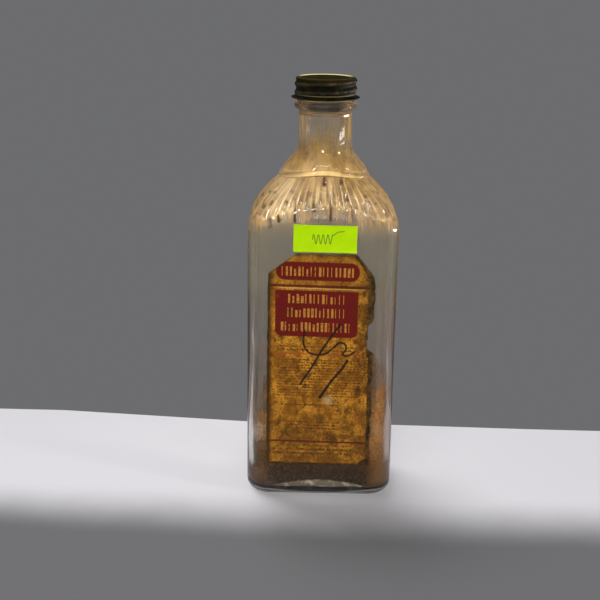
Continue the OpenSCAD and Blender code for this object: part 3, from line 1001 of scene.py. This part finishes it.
def label_material():
    """Aged printed paper. Every word on the old print is replaced with plain bars and dashes."""
    shade = Shade("aged_printed_label")
    x, z = shade.x, shade.z
    # the print isn't quite square to the bottle
    z = z + x * PRINT_SLOPE
    blotch, fine = shade.noise(7, 5, 0.62), shade.noise(1.1, 4, 0.65)
    speck = shade.noise(0.55, 2, 0.6)
    fibre = shade.noise(0.5, 3, 0.6, shade.stretched(1, 1, 3))
    mould = shade.noise(3.2, 5, 0.68, shade.stretched(1, 1, 0.8, 17), 0.4)
    paper = blotch.ramp(0.36, 0.62).mix((0.6, 0.26, 0.024), (0.26, 0.095, 0.009))
    paper = fine.ramp(0.42, 0.66, 0, 0.75).mix(paper, (0.15, 0.057, 0.009))
    paper = z.ramp(112, 124, 0, 0.55).mix(paper, (0.24, 0.11, 0.013))
    paper = mould.ramp(0.5, 0.64, 0, 0.85).mix(paper, (0.1, 0.04, 0.008))
    paper = z.ramp(26, 62, 0.45, 0).mix(paper, (0.16, 0.065, 0.01))
    red = fine.ramp(0.42, 0.7).mix((0.145, 0.01, 0.007), (0.085, 0.01, 0.006))
    cream = fine.ramp(0.45, 0.7).mix((0.5, 0.22, 0.035), (0.26, 0.085, 0.02))
    # two solid panels, a pill above and a wide one below
    pill = round_box(x, z, -23.6, 18.8, 120.6, 130.2, 4.4)
    lower = either(round_box(x, z, -23.9, 18.4, 90.6, 115.2, 3.2), box(x, z, -23.9, 18.4, 104, 115.2))
    worn = (fine + (blotch - 0.5) * 0.6).ramp(0.62, 0.78, 1, 0.25)
    colour = (either(pill, lower) * worn).mix(paper, red)
    big = either(*[marks(x, z, *line, seed) for seed, line in enumerate(HEADINGS, 1)])
    colour = (big * fine.ramp(0.55, 0.72, 0.95, 0.3)).mix(colour, cream)
    # rules
    strong = box(x, z, -30, 30, 116.9, 118.2, 0.15)
    strong = either(strong, box(x, z, -30, 30, 31.8, 32.8, 0.15))
    colour = (strong * fine.ramp(0.6, 0.75, 0.9, 0.5)).mix(colour, (0.09, 0.008, 0.008))
    thin = box(x, z, -24.5, 22.5, 80.9, 81.6, 0.15)
    colour = (thin * 0.75).mix(colour, (0.33, 0.06, 0.02))
    colour = (box(x, z, -22, 22, 116.1, 116.7, 0.1) * 0.6).mix(colour, (0.65, 0.38, 0.1))
    # fine print: rows of dashes too small to be words
    dashes = either(*[rows(x, z, *block, seed) for seed, block in enumerate(FINE_PRINT, 11)])
    colour = (dashes * blotch.ramp(0.35, 0.62, 0.95, 0.5)).mix(colour, (0.045, 0.014, 0.006))
    colour = stains(colour, x, z, blotch, fine, speck)
    ink = pen_strokes(x, z, fine)
    colour = ink.mix(colour, (0.014, 0.011, 0.008))
    crease = shade.noise(5, 4, 0.55, shade.stretched(1, 1, 0.5), 0.6)
    normal = fibre.bumped(0.05, 0.6, crease.bumped(0.35, 0.6))
    roughness = blotch.ramp(0.35, 0.7, 0.6, 0.8)
    return shade.paint(colour, roughness, normal=normal, shine=0.12)


def marks(x, z, x0, x1, z0, z1, seed):
    """A row of plain upright bars and blocks of uneven width that stand in for a printed heading."""
    step = (x1 - x0) / round((x1 - x0) / BAR_PITCH)
    along = (x - x0) / step
    cell = along.floor()
    inside = along.fraction()
    up = (z - z0) / (z1 - z0)
    wide = dice(cell, seed).ramp(0, 1, 0.3, 0.78)
    bar = inside.ramp(0.08, 0.2) * (inside - wide).fall(-0.06, 0.06)
    short = dice(cell, seed + 7).ramp(0.3, 0.36, 0.78, 1)
    tall = up.ramp(0, 0.06) * (up - short).fall(-0.06, 0)
    return bar * tall * x.between(x0, x1, 0.1)


def rows(x, z, x0, x1, z0, z1, pitch, cell_w, seed):
    """Lines of tiny dashes of uneven length and height."""
    line = (z - z0) / pitch
    number = line.floor()
    up = line.fraction()
    cell = ((x - x0) / cell_w).floor()
    across = ((x - x0) / cell_w).fraction()
    pick = dice(cell + 0.5, number + seed * 10)
    tall = pick.ramp(0.2, 1, 0.45, 0.72)
    dash = (across.between(0.08, 0.86, 0.1) * up.ramp(0.12, 0.2)
            * (up - tall).fall(-0.06, 0.04))
    shown = pick.above(0.16)
    return dash * shown * box(x, z, x0, x1, z0, z1, 0.1)


def stains(colour, x, z, blotch, fine, speck):
    """Grime, mould and water marks on the front label."""
    wobble = (fine - 0.5) * 4
    x, z = x + wobble, z + (blotch - 0.5) * 3
    dark = either(*[spot(x, z, *place) * strength for *place, strength in SPOTS])
    colour = dark.mix(colour, (0.04, 0.02, 0.008))
    colour = (spot(x, z, 4, 56, 2.4, 1.8) * 0.45).mix(colour, (0.56, 0.42, 0.22))
    # brown edges, strongest at the left and along the torn right side
    rim = either(x.ramp(-27.7, -24.6, 1.5, 0),
                 (x - z.ramp(60, 80, 2.2, 0)).ramp(20.5, 24.5) * 0.75, z.ramp(132.6, 134.4) * 0.7)
    rim = rim * fine.ramp(0.3, 0.6, 0.45, 1)
    colour = rim.mix(colour, (0.05, 0.024, 0.007))
    right = (x * 0.06 + blotch).ramp(1.4, 1.95) * fine.ramp(0.36, 0.6)
    colour = (right * z.ramp(55, 80, 0.3, 0.6)).mix(colour, (0.06, 0.03, 0.009))
    foot = z.fall(36, 52) * blotch.ramp(0.42, 0.58) * fine.ramp(0.36, 0.6)
    colour = (foot * 0.6).mix(colour, (0.07, 0.033, 0.01))
    specks = speck.ramp(0.63, 0.71, 0, 0.75)
    return specks.mix(colour, (0.05, 0.022, 0.008))


def stroke(x, z, points, half, soft=0.22):
    """1 within half of a line through points."""
    nearest = None
    for (x0, z0), (x1, z1) in zip(points, points[1:]):
        dx, dz = x1 - x0, z1 - z0
        length = dx * dx + dz * dz
        px, pz = x - x0, z - z0
        t = (px * dx + pz * dz) * (1 / length)
        t = either(t, 0).at_most(1)
        ex, ez = px - t * dx, pz - t * dz
        away = ex * ex + ez * ez
        nearest = away if nearest is None else nearest.at_most(away)
    return nearest.root().fall(half - soft, half + soft)


def rounded(points):
    """The same line with each corner cut off."""
    cut = [points[0]]
    for (x0, z0), (x1, z1) in zip(points, points[1:]):
        cut.append((0.75 * x0 + 0.25 * x1, 0.75 * z0 + 0.25 * z1))
        cut.append((0.25 * x0 + 0.75 * x1, 0.25 * z0 + 0.75 * z1))
    return cut + [points[-1]]


def pen_strokes(x, z, fine):
    """A flourish in ink: two slants, and a wave across the first. It is no letter and no number."""
    first_slant = [(9.5, 97.6), (5, 91), (0, 83), (-4.5, 74.4), (-10.6, 64.4)]
    wave = [(-8.6, 93.6), (-9.6, 87.4), (-7.6, 82.6), (-3, 80.6), (2.6, 81.4), (6.2, 85), (9.4, 88.2),
            (12.6, 87.2), (13, 83.8), (10.4, 81.6), (13.4, 80.4), (17, 83)]
    second_slant = [(13.6, 78.2), (10.6, 73), (5.2, 66.2), (-0.2, 57.4)]
    ink = either(stroke(x, z, first_slant, 0.56), stroke(x, z, rounded(wave), 0.52),
                 stroke(x, z, second_slant, 0.72))
    return ink * fine.ramp(0.5, 0.75, 0.95, 0.5)


def backing_material():
    """The lower ply and the glue stain round it: dark olive-brown, blotched."""
    shade = Shade("stained_backing")
    blotch, fine = shade.noise(4, 5, 0.65), shade.noise(0.9, 4, 0.65)
    colour = blotch.ramp(0.35, 0.65).mix((0.028, 0.017, 0.006), (0.12, 0.06, 0.014))
    colour = fine.ramp(0.5, 0.72, 0, 0.6).mix(colour, (0.02, 0.014, 0.007))
    normal = fine.bumped(0.1, 0.6)
    return shade.paint(colour, 0.8, normal=normal, shine=0.15)


def sticker_material():
    """Fluorescent paper with a thin pencilled scribble."""
    shade = Shade("bright_sticker")
    x, z = shade.x, shade.z
    fine, soft = shade.noise(0.6, 3, 0.6), shade.noise(12, 3, 0.5)
    colour = soft.ramp(0.35, 0.65).mix((0.43, 0.72, 0.001), (0.48, 0.78, 0.002))
    colour = fine.ramp(0.5, 0.8, 0, 0.12).mix(colour, (0.33, 0.55, 0.003))
    squiggle = [(-5.5 + 0.4 * k, 142.2 + 2.6 * sin(1.05 * k)) for k in range(26)]
    tail = [(4.5, 143.9), (7.2, 146), (10.4, 146.4)]
    pencil = either(stroke(x, z, squiggle, 0.26, 0.16), stroke(x, z, tail, 0.26, 0.16))
    colour = (pencil * 0.75).mix(colour, (0.06, 0.12, 0.02))
    return shade.paint(colour, 0.6, normal=fine.bumped(0.02, 0.5), shine=0.1)


# ---- stage, light and camera
def floor_material():
    """A pale cloth that falls into shade towards the front."""
    shade = Shade("pale_floor")
    weave = shade.noise(1.5, 2, 0.6, shade.stretched(1, 4, 1))
    soft = shade.noise(60, 3, 0.5)
    aslant = shade.x.at_most(0) * 0.07
    front = shade.y + aslant + (soft - 0.5) * 12
    pale = front.ramp(-78, -22, 0, 1)
    colour = pale.mix((0.145, 0.145, 0.15), (0.66, 0.645, 0.67))
    return shade.paint(colour, 0.85, normal=weave.bumped(0.1, 0.3), shine=0.15)


def make_floor():
    """A table top that ends a little behind the object."""
    back_edge = ((1200, 50), (130, 73), (40, 76.5), (-45, 78), (-160, 91), (-1200, 110))
    corners = [(-1200, -1500, 0), (1200, -1500, 0)] + [(x, y, 0) for x, y in back_edge]
    face = tuple(range(len(corners)))
    floor = mesh_object("stage_floor", corners, [face], floor_material(), smooth=False)


def make_world():
    world = bpy.data.worlds.new("studio")
    world.use_nodes = True
    background = world.node_tree.nodes["Background"]
    background.inputs["Color"].default_value = (0.15, 0.151, 0.156, 1)
    background.inputs["Strength"].default_value = 1.0
    bpy.context.scene.world = world
    bpy.context.scene.view_settings.view_transform = "Standard"


def area_light(name, at, aim, size, power, hidden="", spread=180):
    """A lamp. hidden names the kinds of ray that don't see it: glossy, transmission or both."""
    data = bpy.data.lights.new(name, "AREA")
    data.shape = "RECTANGLE"
    data.size, data.size_y = size
    data.energy = power
    data.spread = radians(spread)
    lamp = bpy.data.objects.new(name, data)
    bpy.context.scene.collection.objects.link(lamp)
    look = Vector(aim) - Vector(at)
    lamp.matrix_world = Matrix.Translation(at) @ look.to_track_quat("-Z", "Y").to_matrix().to_4x4()
    lamp.visible_glossy = "glossy" not in hidden
    lamp.visible_transmission = "transmission" not in hidden


def make_lights():
    centre = (0, 0, 0.11)
    area_light("key", (-0.12, -1.0, 0.55), centre, (0.12, 0.25), 2.4)
    area_light("front_fill", (-0.35, -1.3, 0.4), centre, (1.1, 0.5), 10.8, "glossy")
    area_light("long_strip", (-0.1, -0.95, 0.8), centre, (1.0, 0.014), 0.8)
    area_light("rear_top", (-0.22, 0.35, 1.2), centre, (0.5, 0.5), 11.5, "glossy transmission")
    area_light("side_window", (0.75, -0.35, 0.74), centre, (0.06, 0.08), 1.2)
    # low strips off to the right, seen as short bright bars in the side of the neck
    neck = (0, 0, 0.195)
    strips = (("upper_strip", 0.091, 0.006, 0.02), ("middle_strip", 0.079, 0.018, 0.08),
              ("lower_strip", 0.055, 0.006, 0.02))
    for name, z, width, power in strips:
        area_light(name, (0.5, 0.12, z), neck, (0.2, width), power, spread=30)


def make_camera():
    data = bpy.data.cameras.new("view")
    data.lens = 69
    data.sensor_width = 36
    data.clip_start = 0.02
    camera = bpy.data.objects.new("view", data)
    bpy.context.scene.collection.objects.link(camera)
    azimuth, pitch, heading, roll = (radians(angle) for angle in (-0.72, 16.7, 1.12, 0.83))
    distance, height = 0.5858, 0.2785
    spot = Matrix.Translation((distance * sin(azimuth), -distance * cos(azimuth), height))
    turn = Matrix.Rotation(azimuth + heading, 4, "Z") @ Matrix.Rotation(pi / 2 - pitch, 4, "X")
    camera.matrix_world = spot @ turn @ Matrix.Rotation(roll, 4, "Z")
    bpy.context.scene.camera = camera


# ---- the scene
make_camera()
make_glass()
make_film()
make_crust()
make_cap()
board = disc_material("pulpboard", (0.42, 0.29, 0.16), (0.3, 0.19, 0.1), 0.4)
facing = disc_material("waxed_paper", (0.6, 0.52, 0.38), (0.4, 0.27, 0.13), 0.8)
make_disc("liner_board", "pulpboard_disc", board, 0.0)
make_disc("liner_facing", "waxed_disc", facing, 0.05)
make_backing()
make_label()
make_sticker()
make_floor()
make_world()
make_lights()
